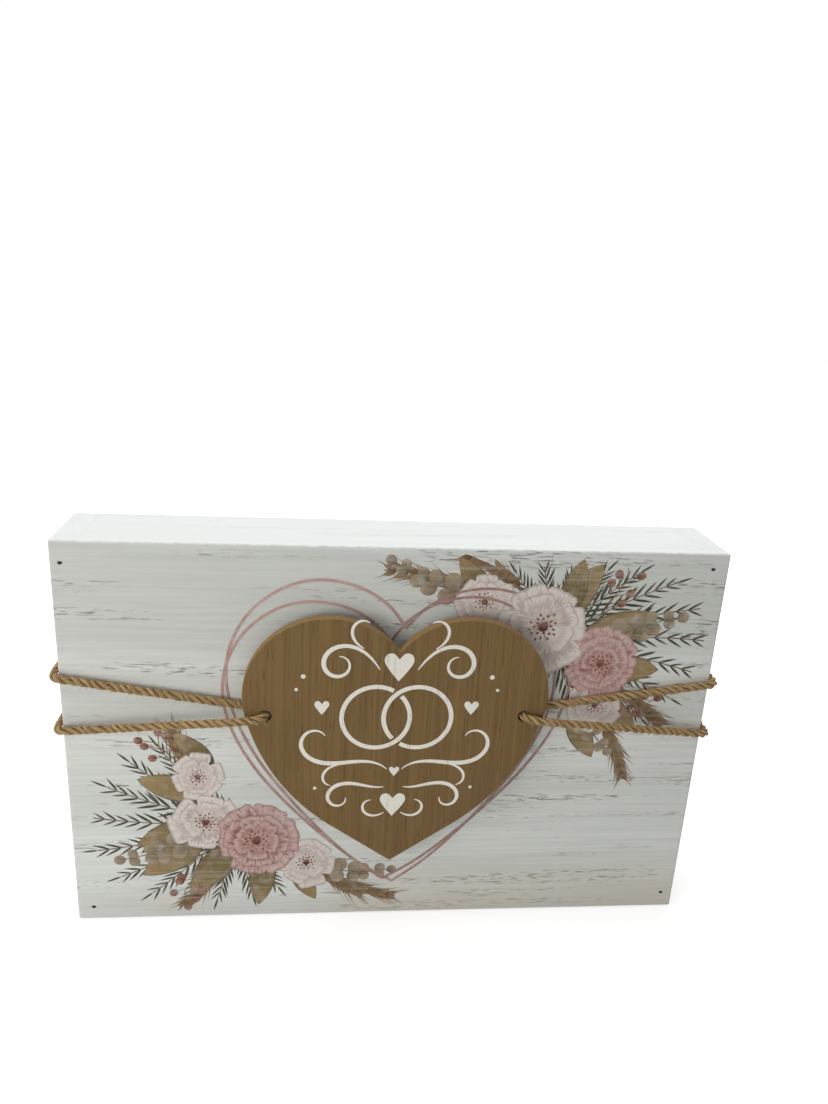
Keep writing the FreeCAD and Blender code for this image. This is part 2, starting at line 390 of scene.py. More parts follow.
def depths_in_block(tree, axes):
    """How deep a place lies under the block's nearest outer face, and under the next nearest."""
    under_end = less(tree, BLOCK_WIDTH / 2, sums(tree, "ABSOLUTE", axes[0]))
    under_front = less(tree, BLOCK_DEPTH / 2, sums(tree, "ABSOLUTE", axes[1]))
    from_middle = sums(tree, "ABSOLUTE", less(tree, axes[2], BLOCK_HEIGHT / 2))
    under_top = less(tree, BLOCK_HEIGHT / 2, from_middle)
    least = sums(tree, "MINIMUM", sums(tree, "MINIMUM", under_end, under_front), under_top)
    most = sums(tree, "MAXIMUM", sums(tree, "MAXIMUM", under_end, under_front), under_top)
    total = plus(tree, plus(tree, under_end, under_front), under_top)
    return least, less(tree, less(tree, total, least), most)


def painted_wood(name, wood, along):
    """Whitewash over wood whose grain runs along the axis that is marked 1; bare inside the block."""
    finish, tree, shader, place = new_finish(name)

    def drawn(lengthwise, crosswise, *shape):
        return streaks(tree, place, [lengthwise if marked else crosswise for marked in along], *shape)
    fibres = drawn(14.0, 520.0, 5.0, 0.62, 0.2)
    bands = drawn(1.6, 30.0, 2.0, 0.45, 0.3)
    pores = drawn(130.0, 1150.0, 2.0, 0.6)
    rows = drawn(8.0, 150.0, 2.0, 0.5)
    axes = separated(tree, place)
    grain = grade(tree, fibres, 0.34, 0.66)
    broad = grade(tree, bands, 0.36, 0.66)
    flecks = times(tree, grade(tree, pores, 0.54, 0.64), grade(tree, rows, 0.52, 0.65))
    paint = blend(tree, times(tree, broad, 0.75), wood.whitewash, wood.greywash)
    paint = blend(tree, times(tree, grain, 0.3), paint, shade(188, 189, 182))
    paint = blend(tree, times(tree, flecks, 0.74), paint, wood.fleck)
    paint = low_stains(tree, place, axes[2], paint)
    paint = butt_joints(tree, axes, paint)
    # whiter and cooler on the top face: partly more opaque paint there, partly a painted highlight of the
    # light from above
    upper = grade(tree, axes[2], BLOCK_HEIGHT - 0.9 * MM, BLOCK_HEIGHT - 0.2 * MM)
    paint = blend(tree, times(tree, upper, 0.9), paint, shade(233, 238, 236))
    paint = brad_rings(tree, place, paint)
    least, middle = depths_in_block(tree, axes)
    scuff = times(tree, noise(tree, place, 240.0, 4.0, 0.65), 1.6 * MM)
    edge = grade(tree, plus(tree, middle, scuff), 0.6 * MM, 1.7 * MM, 1.0, 0.0)
    paint = blend(tree, times(tree, edge, 0.55), paint, shade(168, 158, 142))
    raw = blend(tree, grain, wood.bare_wood, shade(176, 142, 98))
    raw = blend(tree, times(tree, broad, 0.4), raw, shade(222, 198, 160))
    inside = grade(tree, least, 0.6 * MM, 1.1 * MM)
    cover(tree, shader, blend(tree, inside, paint, raw), grade(tree, fibres, 0.3, 0.7, 0.62, 0.82), 0.3)
    relief(tree, shader, less(tree, fibres, times(tree, flecks, 0.9)), 0.16 * MM)
    return finish


def stained_wood(name, wood):
    """Brown stain on a thin board whose grain runs upright, paler on its sawn edge, with a painted highlight
    on its eased edges.
    """
    finish, tree, shader, place = new_finish(name)
    fibres = streaks(tree, place, [620.0, 620.0, 15.0], 5.0, 0.62, 0.25)
    stripes = streaks(tree, place, [130.0, 130.0, 4.0], 3.0, 0.55, 0.3)
    pores = streaks(tree, place, [1300.0, 1300.0, 60.0], 2.0, 0.6)
    cloud = noise(tree, place, 22.0, 3.0, 0.55)
    tone = blend(tree, times(tree, grade(tree, fibres, 0.33, 0.67), 0.6), wood.stain, wood.dark_stain)
    tone = blend(tree, grade(tree, stripes, 0.42, 0.68, 0.0, 0.4), tone, shade(96, 72, 39))
    tone = blend(tree, grade(tree, cloud, 0.45, 0.7, 0.0, 0.3), tone, shade(129, 102, 59))
    dots = grade(tree, pores, 0.63, 0.72)
    tone = blend(tree, times(tree, dots, 0.5), tone, shade(70, 50, 28))
    normal = add(tree, "ShaderNodeTexCoord").outputs["Normal"]
    facing = sums(tree, "ABSOLUTE", separated(tree, normal)[1])
    # painted highlight: the eased edges, between the flat faces and the sawn edge, are lighter
    eased_highlight = times(tree, grade(tree, facing, 0.3, 0.5), grade(tree, facing, 0.93, 0.98, 1.0, 0.0))
    tone = blend(tree, times(tree, eased_highlight, 0.3), tone, shade(158, 127, 84))
    sawn = grade(tree, facing, 0.2, 0.4, 0.7, 0.0)
    tone = blend(tree, sawn, tone, shade(143, 115, 75))
    cover(tree, shader, tone, grade(tree, fibres, 0.3, 0.7, 0.55, 0.75), 0.35)
    relief(tree, shader, less(tree, fibres, dots), 0.12 * MM)
    return finish


def dark_steel(name, wood):
    """Darkened wire and heads, a little rubbed on top."""
    finish, tree, shader, place = new_finish(name)
    rub = noise(tree, place, 1400.0, 4.0, 0.6)
    tone = blend(tree, grade(tree, rub, 0.48, 0.75), wood.brad, shade(74, 67, 61))
    cover(tree, shader, tone, grade(tree, rub, 0.3, 0.7, 0.42, 0.66))
    shader.inputs["Metallic"].default_value = 0.6
    relief(tree, shader, rub, 0.04 * MM)
    return finish


def jute(name, cord):
    """Twisted plant fibres, straw and darker husk mixed by noise, with painted shade in the grooves between
    the strands that leaves the crowns lighter.
    """
    finish, tree, shader, place = new_finish(name)
    fibre = add(tree, "ShaderNodeAttribute", attribute_name="fibre").outputs["Vector"]
    fine_way = add(tree, "ShaderNodeMapping", {"Vector": fibre, "Scale": [1.0, 1.0, 1.3]}).outputs[0]
    yarn_way = add(tree, "ShaderNodeMapping", {"Vector": fibre, "Scale": [1.0, 1.0, 0.6]}).outputs[0]
    fine = noise(tree, fine_way, 6.4, 5.0, 0.7)
    yarn = noise(tree, yarn_way, 2.1, 3.0, 0.55)
    length_tint = noise(tree, place, 36.0, 2.0, 0.5)
    tone = blend(tree, grade(tree, fine, 0.34, 0.66), cord.husk, cord.straw)
    tone = blend(tree, grade(tree, yarn, 0.46, 0.68, 0.0, 0.75), tone, shade(221, 192, 141))
    tone = blend(tree, grade(tree, length_tint, 0.4, 0.7, 0.0, 0.3), tone, shade(172, 138, 84))
    # painted shade: darker where the strands turn away from the cord's outside, in the grooves between them
    painted_groove_shade = grade(tree, attribute(tree, "crown"), 0.0, 0.55, 0.6, 0.0)
    tone = blend(tree, painted_groove_shade, tone, shade(104, 78, 46))
    cover(tree, shader, tone, grade(tree, fine, 0.3, 0.7, 0.58, 0.85), 0.3)
    shader.inputs["Sheen Weight"].default_value = 0.12
    relief(tree, shader, fine, 0.35 * MM)
    return finish


def loose_jute(name, cord):
    """Pale single fibres that stand off the cord."""
    finish, tree, shader, place = new_finish(name)
    tint = noise(tree, place, 300.0, 2.0)
    tone = blend(tree, grade(tree, tint, 0.35, 0.65), cord.straw, shade(214, 190, 146))
    cover(tree, shader, tone, grade(tree, tint, 0.3, 0.7, 0.6, 0.8))
    return finish


def print_finish(name, root, body, tip, veins=0.35, tooth=0.22, hollows=0.0, pale=0.34):
    """Ink that runs from root to tip of each shape, washed and veined, with the wood's grain in it.

    veins is the strength of the veins, tooth that of the grain, hollows that of the dark folds
    and pale that of the thin places.
    """
    finish, tree, shader, place = new_finish(name)
    along = attribute(tree, "along")
    across = attribute(tree, "across")
    tone = attribute(tree, "tone")
    own_place = combined(tree, across, along, times(tree, tone, 37.0))
    lines = streaks(tree, own_place, [8.5, 1.5, 1.0], 4.0, 0.62)
    wash = noise(tree, place, 150.0, 4.0, 0.65)
    bleed = noise(tree, place, 330.0, 3.0, 0.6)
    grain = streaks(tree, place, [14.0, 520.0, 520.0], 4.0, 0.6, 0.2)
    start = plus(tree, along, times(tree, less(tree, lines, 0.5), 0.9))
    ink = blend(tree, grade(tree, start, 0.02, 0.36), root, body)
    ink = blend(tree, grade(tree, start, 0.45, 0.95), ink, tip)
    fold = times(tree, grade(tree, start, 0.5, 0.66), grade(tree, start, 0.66, 0.86, 1.0, 0.0))
    ink = blend(tree, times(tree, fold, hollows), ink, root)
    ink = blend(tree, grade(tree, lines, 0.5, 0.72, 0.0, veins), ink, root)
    ink = blend(tree, grade(tree, wash, 0.46, 0.7, 0.0, pale), ink, shade(224, 218, 208))
    ink = blend(tree, grade(tree, bleed, 0.52, 0.74, 0.0, veins * 0.8), ink, root)
    ink = blend(tree, times(tree, tone, 0.55), ink, tip)
    side_rim = grade(tree, sums(tree, "ABSOLUTE", across), 0.8, 1.0, 0.0, 0.55)
    rim = sums(tree, "MAXIMUM", side_rim, grade(tree, along, 0.91, 1.0, 0.0, 0.45))
    ink = blend(tree, rim, ink, root)
    ink = blend(tree, grade(tree, grain, 0.45, 0.7, 0.0, tooth), ink, shade(222, 223, 216))
    cover(tree, shader, ink, grade(tree, grain, 0.3, 0.7, 0.6, 0.8), 0.25)
    relief(tree, shader, grain, 0.1 * MM)
    return finish


def chalk_paint(name, tone):
    """White paint rubbed on stained wood, thin where the grain stands up."""
    finish, tree, shader, place = new_finish(name)
    grain = streaks(tree, place, [620.0, 620.0, 15.0], 5.0, 0.62, 0.25)
    wash = noise(tree, place, 420.0, 3.0, 0.6)
    worn = times(tree, grade(tree, grain, 0.52, 0.72), grade(tree, wash, 0.4, 0.7, 0.15, 0.7))
    paint = blend(tree, worn, tone, shade(170, 142, 102))
    cover(tree, shader, paint, grade(tree, grain, 0.3, 0.7, 0.6, 0.8), 0.25)
    relief(tree, shader, grain, 0.06 * MM)
    return finish


def link(name, mesh):
    made = bpy.data.objects.new(name, mesh)
    bpy.context.scene.collection.objects.link(made)
    return made


def grown(carrier, name):
    """The evaluated result of a carrier's node tree as a plain piece; the carrier is removed."""
    view = bpy.context.evaluated_depsgraph_get()
    mesh = bpy.data.meshes.new_from_object(carrier.evaluated_get(view))
    mesh.name = name
    carrier.modifiers.clear()
    bpy.data.objects.remove(carrier)
    return link(name, mesh)


def new_growth(name, inputs):
    """A Geometry Nodes tree with a geometry going in and out and the named inputs."""
    tree = bpy.data.node_groups.new(name, "GeometryNodeTree")
    tree.interface.new_socket(name="Geometry", in_out="INPUT", socket_type="NodeSocketGeometry")
    tree.interface.new_socket(name="Geometry", in_out="OUTPUT", socket_type="NodeSocketGeometry")
    for title, kind in inputs:
        tree.interface.new_socket(name=title, in_out="INPUT", socket_type=kind)
    start = tree.nodes.new("NodeGroupInput")
    end = tree.nodes.new("NodeGroupOutput")
    return tree, start, end


def grow(piece, tree, values):
    """Puts the tree on the piece and sets its inputs by their identifiers."""
    growth = piece.modifiers.new(tree.name, "NODES")
    growth.node_group = tree
    for item in tree.interface.items_tree:
        if item.item_type == "SOCKET" and item.in_out == "INPUT" and item.name in values:
            growth[item.identifier] = values[item.name]
    return growth


def placed(tree, geometry, start):
    """Realize Instances and Set Material, the end of every tree here."""
    real = add(tree, "GeometryNodeRealizeInstances", {"Geometry": geometry})
    return add(
        tree, "GeometryNodeSetMaterial",
        {"Geometry": real.outputs[0], "Material": start.outputs["Finish"]}
    ).outputs[0]


def store(tree, geometry, name, value, kind="FLOAT"):
    sockets = {"Geometry": geometry, "Name": name, "Value": value}
    return add(tree, "GeometryNodeStoreNamedAttribute", sockets, data_type=kind).outputs[0]


def recall(tree, name, kind="FLOAT"):
    return add(tree, "GeometryNodeInputNamedAttribute", {"Name": name}, data_type=kind).outputs[0]


def laid_line(tree, line, number, turn, axes, offset):
    """The line moved out to where one of the three strands runs, turn by turn."""
    angle = plus(tree, turn, number * 2 * math.pi / 3)
    wide = vector(tree, "SCALE", axes[0], sums(tree, "COSINE", angle))
    high = vector(tree, "SCALE", axes[1], sums(tree, "SINE", angle))
    outward = vector(tree, "ADD", wide, high)
    strand = store(tree, line, "outward", outward, "FLOAT_VECTOR")
    moved = vector(tree, "SCALE", outward, offset)
    strand = add(tree, "GeometryNodeSetPosition", {"Geometry": strand, "Offset": moved}).outputs[0]
    return store(tree, strand, "strand", float(number))


def strands_growth():
    """Three strands laid round the cord's line, each with the run of its fibres."""
    tree, start, end = new_growth("Laid Strands", [
        ("Step", "NodeSocketFloat"), ("Lay Length", "NodeSocketFloat"), ("Offset", "NodeSocketFloat"),
        ("Strand Radius", "NodeSocketFloat"), ("Finish", "NodeSocketMaterial"),
    ])
    line = add(tree, "GeometryNodeMeshToCurve", {"Mesh": start.outputs["Geometry"]}).outputs[0]
    line = add(
        tree, "GeometryNodeResampleCurve", {"Curve": line, "Length": start.outputs["Step"]}, mode="LENGTH"
    ).outputs[0]
    run = add(tree, "GeometryNodeSplineParameter").outputs["Length"]
    normal = add(tree, "GeometryNodeInputNormal").outputs[0]
    tangent = add(tree, "GeometryNodeInputTangent").outputs[0]
    beside = vector(tree, "CROSS_PRODUCT", tangent, normal)
    turn = times(tree, sums(tree, "DIVIDE", run, start.outputs["Lay Length"]), 2 * math.pi)
    slack = noise_along(tree, times(tree, run, 85.0))
    turn = plus(tree, turn, times(tree, slack, 2.6))
    line = store(tree, line, "run", run)
    joined = add(tree, "GeometryNodeJoinGeometry")
    for number in range(3):
        strand = laid_line(tree, line, number, turn, (normal, beside), start.outputs["Offset"])
        tree.links.new(strand, joined.inputs[0])
    ring = add(
        tree, "GeometryNodeCurvePrimitiveCircle",
        {"Resolution": 10, "Radius": start.outputs["Strand Radius"]}, mode="RADIUS"
    ).outputs[0]
    turned = times(tree, add(tree, "GeometryNodeSplineParameter").outputs["Factor"], 2 * math.pi)
    around = combined(tree, sums(tree, "COSINE", turned), sums(tree, "SINE", turned), 0.0)
    ring = store(tree, ring, "around", around, "FLOAT_VECTOR")
    lumps = noise_along(tree, plus(tree, times(tree, run, 230.0), times(tree, recall(tree, "strand"), 31.0)))
    thickness = grade(tree, lumps, 0.25, 0.75, 0.86, 1.08)
    tube = add(
        tree, "GeometryNodeCurveToMesh",
        {"Curve": joined.outputs[0], "Profile Curve": ring, "Scale": thickness, "Fill Caps": True}
    ).outputs[0]
    run = recall(tree, "run")
    spun = add(
        tree, "ShaderNodeVectorRotate",
        {"Vector": recall(tree, "around", "FLOAT_VECTOR"), "Angle": times(tree, run, -560.0)},
        rotation_type="Z_AXIS"
    ).outputs[0]
    axes = separated(tree, spun)
    lifted = plus(tree, times(tree, run, 60.0), times(tree, recall(tree, "strand"), 40.0))
    tube = store(tree, tube, "fibre", combined(tree, axes[0], axes[1], lifted), "FLOAT_VECTOR")
    outward = recall(tree, "outward", "FLOAT_VECTOR")
    facing = add(tree, "GeometryNodeInputNormal").outputs[0]
    tube = store(tree, tube, "crown", vector(tree, "DOT_PRODUCT", outward, facing))
    tube = add(tree, "GeometryNodeSetShadeSmooth", {"Geometry": tube}).outputs[0]
    tree.links.new(placed(tree, tube, start), end.inputs[0])
    return tree


def fuzz_growth():
    """Loose fibres that stand off the strands."""
    tree, start, end = new_growth("Loose Fibres", [
        ("Density", "NodeSocketFloat"), ("Length", "NodeSocketFloat"), ("Fibre", "NodeSocketObject"),
        ("Seed", "NodeSocketInt"), ("Finish", "NodeSocketMaterial"),
    ])
    seed = start.outputs["Seed"]
    points = add(
        tree, "GeometryNodeDistributePointsOnFaces",
        {"Mesh": start.outputs["Geometry"], "Density": start.outputs["Density"], "Seed": seed}
    ).outputs
    lean = add(
        tree, "FunctionNodeRandomValue",
        {0: (-1.25, -1.25, 0.0), 1: (1.25, 1.25, 6.28), "Seed": seed}, data_type="FLOAT_VECTOR"
    )
    leant = add(tree, "FunctionNodeEulerToRotation", {0: lean.outputs[0]})
    turn = add(
        tree, "FunctionNodeRotateRotation",
        {"Rotation": points["Rotation"], "Rotate By": leant.outputs[0]}, rotation_space="LOCAL"
    )
    share = add(tree, "FunctionNodeRandomValue", {2: 0.35, 3: 1.15, "Seed": seed}, data_type="FLOAT")
    fibre = add(tree, "GeometryNodeObjectInfo", {"Object": start.outputs["Fibre"]})
    hairs = add(
        tree, "GeometryNodeInstanceOnPoints",
        {"Points": points["Points"], "Instance": fibre.outputs["Geometry"], "Rotation": turn.outputs[0],
         "Scale": times(tree, share.outputs[1], start.outputs["Length"])}
    )
    tree.links.new(placed(tree, hairs.outputs[0], start), end.inputs[0])
    return tree


def motif_growth():
    """One printed shape on every point, turned and sized by the point's own numbers."""
    tree, start, end = new_growth("Printed Shapes", [
        ("Motif", "NodeSocketObject"), ("Scale", "NodeSocketFloat"), ("Finish", "NodeSocketMaterial"),
    ])
    turn = combined(tree, 0.0, recall(tree, "turn"), 0.0)
    spin = add(tree, "FunctionNodeEulerToRotation", {0: turn})
    wide = times(tree, recall(tree, "wide"), start.outputs["Scale"])
    long = times(tree, recall(tree, "long"), start.outputs["Scale"])
    motif = add(tree, "GeometryNodeObjectInfo", {"Object": start.outputs["Motif"]})
    shapes = add(
        tree, "GeometryNodeInstanceOnPoints",
        {"Points": start.outputs["Geometry"], "Instance": motif.outputs["Geometry"],
         "Rotation": spin.outputs[0], "Scale": combined(tree, wide, 1.0, long)}
    )
    tree.links.new(placed(tree, shapes.outputs[0], start), end.inputs[0])
    return tree


def give_attribute(mesh, name, values):
    mesh.attributes.new(name, "FLOAT", "POINT").data.foreach_set("value", values)


def flat_shape(name, spot, rows, columns):
    """A flat shape one metre long from its root at the origin up +Z, with its run in two attributes."""
    points, faces, along, across = [], [], [], []
    for row in range(rows + 1):
        far = row / rows
        for column in range(columns + 1):
            side = 2 * column / columns - 1
            x, z = spot(far, side)
            points.append((x, 0.0, z))
            along.append(far)
            across.append(side)
    for row in range(rows):
        for column in range(columns):
            first = row * (columns + 1) + column
            faces.append((first, first + 1, first + columns + 2, first + columns + 1))
    mesh = bpy.data.meshes.new(name)
    mesh.from_pydata(points, [], faces)
    give_attribute(mesh, "along", along)
    give_attribute(mesh, "across", across)
    work = bmesh.new()
    work.from_mesh(mesh)
    bmesh.ops.remove_doubles(work, verts=work.verts, dist=0.0001)
    work.to_mesh(mesh)
    work.free()
    return link(name, mesh)


def leaf_shape(name, peak, power, rows=9, columns=6):
    """A leaf, grain or dot: widest at peak, rounder for a small power."""
    stretch = math.log(0.5) / math.log(peak)

    def spot(far, side):
        through = far ** stretch
        return side * 0.5 * max(4 * through * (1 - through), 0.0) ** power, far
    return flat_shape(name, spot, rows, columns)


def petal_shape(name, open_by, wave, notch, rows=8, columns=16):
    """A petal that opens like a fan from its root, with a waved rim and a notch."""

    def spot(far, side):
        angle = math.radians(open_by) * side
        rim = 1 - 0.52 * side ** 4 + wave * math.cos(3.4 * math.pi * side)
        rim -= notch * math.exp(-40 * side * side)
        rim *= 1 - 0.5 * max(abs(side) - 0.86, 0.0) / 0.14
        return far * rim * math.sin(angle), far * rim * math.cos(angle)
    return flat_shape(name, spot, rows, columns)


class Spray:
    """Collects printed shapes in the order they are laid, each a hair in front of what it covers."""

    def __init__(self, seed):
        self.pick = random.Random(seed)
        self.covered = []
        self.places = {}
        self.lines = []

    def depth(self, spots):
        """The first free layer in front of all that the spots touch, as a depth in millimetres."""
        layer = 0
        for x, z, radius in spots:
            for other_x, other_z, other_radius, other_layer in self.covered:
                if other_layer >= layer and math.hypot(x - other_x, z - other_z) < radius + other_radius:
                    layer = other_layer + 1
        for x, z, radius in spots:
            self.covered.append((x, z, radius, layer))
        return SPRAY_DEPTH - LAYER_STEP * layer

    def put(self, kind, x, z, turn, long, wide, tone):
        """One shape from its root at x, z along the turn from upright; wide is its width."""
        tip = (x + math.sin(turn) * long, z + math.cos(turn) * long)
        if abs(tip[0]) > SPRAY_SIDE or not SPRAY_BOTTOM < tip[1] < SPRAY_TOP:
            return
        thick = 0.5 * wide
        spots = []
        reach = thick
        while reach < long + thick:
            along = min(reach, max(long - thick, 0.5 * long))
            spots.append((x + math.sin(turn) * along, z + math.cos(turn) * along, thick * 1.05))
            reach += max(thick * 1.4, 0.8)
        entry = (x, self.depth(spots), z, turn, long, wide, min(max(tone, 0.0), 1.0))
        self.places.setdefault(kind, []).append(entry)

    def stem(self, points, width, tone=0.5):
        spots = []
        for (x0, z0), (x1, z1) in zip(points, points[1:]):
            count = max(int(math.hypot(x1 - x0, z1 - z0) / 1.5), 1)
            for number in range(count + 1):
                share = number / count
                spots.append((x0 + (x1 - x0) * share, z0 + (z1 - z0) * share, width))
        self.lines.append((points, self.depth(spots), width, tone))

    def bent_stem(self, x, z, heading, bend, length, width, tone):
        """Lays a stem that sets out along its heading and bends as it goes, and returns its points."""
        points = []
        for step in range(STEM_STEPS + 1):
            points.append((x, z))
            angle = math.radians(heading + bend * step / STEM_STEPS)
            x += math.sin(angle) * length / STEM_STEPS
            z += math.cos(angle) * length / STEM_STEPS
        self.stem(points, width, tone)
        return points

    def sprig(self, kind, x, z, heading, bend, length, pairs, leaf, wide, splay):
        """A bent stem from x, z with pairs of shapes, smaller towards its tip, and one shape on the tip."""
        points = self.bent_stem(x, z, heading, bend, length, 0.55, 0.5)
        for number in range(pairs):
            share = (number + 1.0) / (pairs + 0.6)
            base = points[min(int(share * STEM_STEPS), STEM_STEPS)]
            lead = math.radians(heading + bend * share)
            fade = 1.0 - 0.5 * share
            for side in (-1, 1):
                open_by = math.radians(splay * (1 - 0.25 * share) + self.pick.uniform(-5, 5)) * side
                long = leaf * fade * self.pick.uniform(0.85, 1.12)
                self.put(kind, base[0], base[1], lead + open_by, long, long * wide, self.pick.random())
        tip = points[-1]
        long = leaf * 0.55
        self.put(kind, tip[0], tip[1], math.radians(heading + bend), long, long * wide, self.pick.random())

    def ear(self, x, z, heading, bend, length, rows):
        """A bent ear: grains in a herringbone with a long awn from each."""
        points = self.bent_stem(x, z, heading, bend, length, 0.6, 0.3)
        for number in range(rows):
            share = 0.28 + 0.72 * number / rows
            x, z = points[min(int(share * STEM_STEPS), STEM_STEPS)]
            lead = math.radians(heading + bend * share)
            for side in (-1, 1):
                out = math.radians(self.pick.uniform(14, 26)) * side
                swollen = math.sin(math.pi * (0.12 + 0.8 * number / rows))
                long = 5.2 + 3.2 * swollen
                self.put("awn", x, z, lead + out * 1.1, 8 + 8 * swollen, 0.5, self.pick.random())
                self.put("grain", x, z, lead + out, long, 2.3 + 0.7 * swollen, self.pick.random())

    def berries(self, x, z, heading, length, count, berry):
        """A thin stem that forks into berries."""
        angle = math.radians(heading)
        self.stem([(x, z), (x + math.sin(angle) * length, z + math.cos(angle) * length)], 0.5, 0.4)
        for number in range(count):
            share = 0.35 + 0.65 * number / max(count - 1, 1)
            side = -1 if number % 2 else 1
            out = angle + side * math.radians(self.pick.uniform(32, 52))
            foot = (x + math.sin(angle) * length * share, z + math.cos(angle) * length * share)
            reach = self.pick.uniform(4.0, 7.5)
            head = (foot[0] + math.sin(out) * reach, foot[1] + math.cos(out) * reach)
            self.stem([foot, head], 0.35, 0.4)
            self.put("berry", head[0], head[1], out, berry, berry * 0.86, self.pick.random())

    def fan(self, x, z, fronds):
        """Fern fronds from one root: the heading, bend and length of each."""
        for heading, bend, length in fronds:
            self.sprig("needle", x, z, heading, bend, length, 13, 15, 0.12, 34)

    def leaves(self, roots):
        """Broad leaves: the root, turn and length of each."""
        for x, z, turn, long in roots:
            self.put("lance", x, z, math.radians(turn), long, long * 0.44, self.pick.random())

    def blossom(self, kind, x, z, radius, turn, tone):
        """Whorls of petals, each between those behind it, round a dark heart full of anthers."""
        # the reach, petals and turn of each whorl
        whorls = ((1.0, 6, 0.0), (0.7, 5, 24.0))
        if kind == "rose":
            whorls = ((1.0, 6, 0.0), (0.78, 6, 30.0), (0.55, 5, 8.0))
        for whorl, (reach, count, start) in enumerate(whorls):
            for number in range(count):
                angle = math.radians(turn + start + number * 360 / count + self.pick.uniform(-8, 8))
                long = radius * reach * self.pick.uniform(0.88, 1.06)
                self.put(kind, x, z, angle, long, long * self.pick.uniform(0.86, 1.08),
                         tone + self.pick.uniform(-0.45, 0.45) + 0.05 * whorl)
        self.put("eye", x, z - radius * 0.1, 0.0, radius * 0.2, radius * 0.2, 0.1)
        anthers = 22
        golden_angle = 137.5
        for number in range(anthers):
            angle = math.radians(turn + number * golden_angle)
            reach = radius * (0.07 + 0.2 * (number / anthers) ** 0.7) * self.pick.uniform(0.9, 1.12)
            self.put("anther", x + math.sin(angle) * reach, z + math.cos(angle) * reach, angle,
                     radius * 0.075, radius * 0.05, self.pick.random())


def lay_out_upper_right(spray):
    """Fronds, ears, leaves, berries and blossoms, from the back of the spray to its front."""
    spray.fan(70, 150, (
        (-22, -14, 38), (-6, -8, 38), (10, 8, 38), (26, 14, 42), (40, 16, 52), (54, 16, 64), (68, 16, 72),
        (82, 14, 74), (96, 12, 72), (110, 10, 68), (124, 10, 62), (138, 10, 58), (152, 8, 54),
    ))
    spray.ear(54, 164, -58, -30, 66, 16)
    spray.ear(60, 170, -40, -34, 40, 11)
    spray.ear(88, 126, 140, 26, 56, 14)
    spray.ear(94, 132, 116, 18, 44, 12)
    spray.leaves((
        (70, 160, 36, 36), (84, 150, 66, 38), (88, 138, 92, 36), (90, 124, 124, 32), (52, 168, 4, 25),
        (40, 172, -38, 24), (84, 112, 150, 26), (76, 164, 12, 28),
    ))
    spray.sprig("round", 96, 150, 56, 26, 36, 4, 10.5, 0.9, 56)
    spray.sprig("round", 30, 173, -72, 14, 36, 4, 9.5, 0.9, 56)
    spray.sprig("round", 88, 116, 152, -14, 26, 3, 9, 0.95, 62)
    spray.berries(90, 160, 30, 26, 6, 4.6)
    spray.berries(98, 126, 112, 22, 6, 4.4)
    spray.blossom("blush", 95, 118, 14.5, 20, 0.55)
    spray.blossom("blush", 38, 170, 15, 8, 0.7)
    spray.blossom("rose", 95, 140, 18.5, 50, 0.3)
    spray.blossom("blush", 66, 158, 23.5, 30, 0.45)


def lay_out_lower_left(spray):
    """The same kinds in another order of places, from the back of the spray to its front."""
    spray.fan(-74, 54, (
        (156, -10, 42), (172, -6, 42), (188, 8, 44), (204, 10, 50), (220, 12, 56), (236, 12, 62),
        (252, 12, 66), (268, 12, 66), (284, 12, 62), (300, 12, 58), (316, 10, 54),
    ))
    spray.ear(-50, 34, 124, -22, 60, 15)
    spray.ear(-46, 40, 140, -20, 44, 11)
    spray.ear(-86, 68, 330, 14, 42, 12)
    spray.ear(-78, 36, 206, 22, 36, 10)
    spray.leaves((
        (-74, 42, 218, 36), (-86, 54, 252, 36), (-60, 36, 186, 30), (-88, 70, 286, 32), (-84, 84, 318, 26),
        (-46, 28, 150, 22), (-90, 44, 236, 34),
    ))
    spray.sprig("round", -94, 46, 242, 18, 34, 4, 10.5, 0.9, 56)
    spray.sprig("round", -32, 28, 106, -26, 32, 4, 9, 0.9, 56)
    spray.berries(-88, 34, 210, 22, 6, 4.6)
    spray.berries(-96, 84, 316, 20, 6, 4.3)
    spray.blossom("blush", -91, 80, 14, 12, 0.6)
    spray.blossom("blush", -40, 31, 15.5, 40, 0.7)
    spray.blossom("blush", -88, 55, 17.5, 66, 0.4)
    spray.blossom("rose", -64, 44, 21, 22, 0.3)


def smooth_line(points, pieces=10, closed=False):
    """A soft line through the points, ended at the first and the last."""
    count = len(points)
    line = []
    for number in range(count if closed else count - 1):
        near = []
        for offset in (-1, 0, 1, 2):
            place = number + offset
            near.append(points[place % count if closed else min(max(place, 0), count - 1)])
        for piece in range(pieces):
            part = piece / pieces
            point = []
            for axis in (0, 1):
                a, b, c, d = (spot[axis] for spot in near)
                point.append(
                    0.5 * (2 * b + (c - a) * part + (2 * a - 5 * b + 4 * c - d) * part ** 2
                           + (3 * b - a - 3 * c + d) * part ** 3)
                )
            line.append(tuple(point))
    if not closed:
        line.append(tuple(points[-1]))
    return line


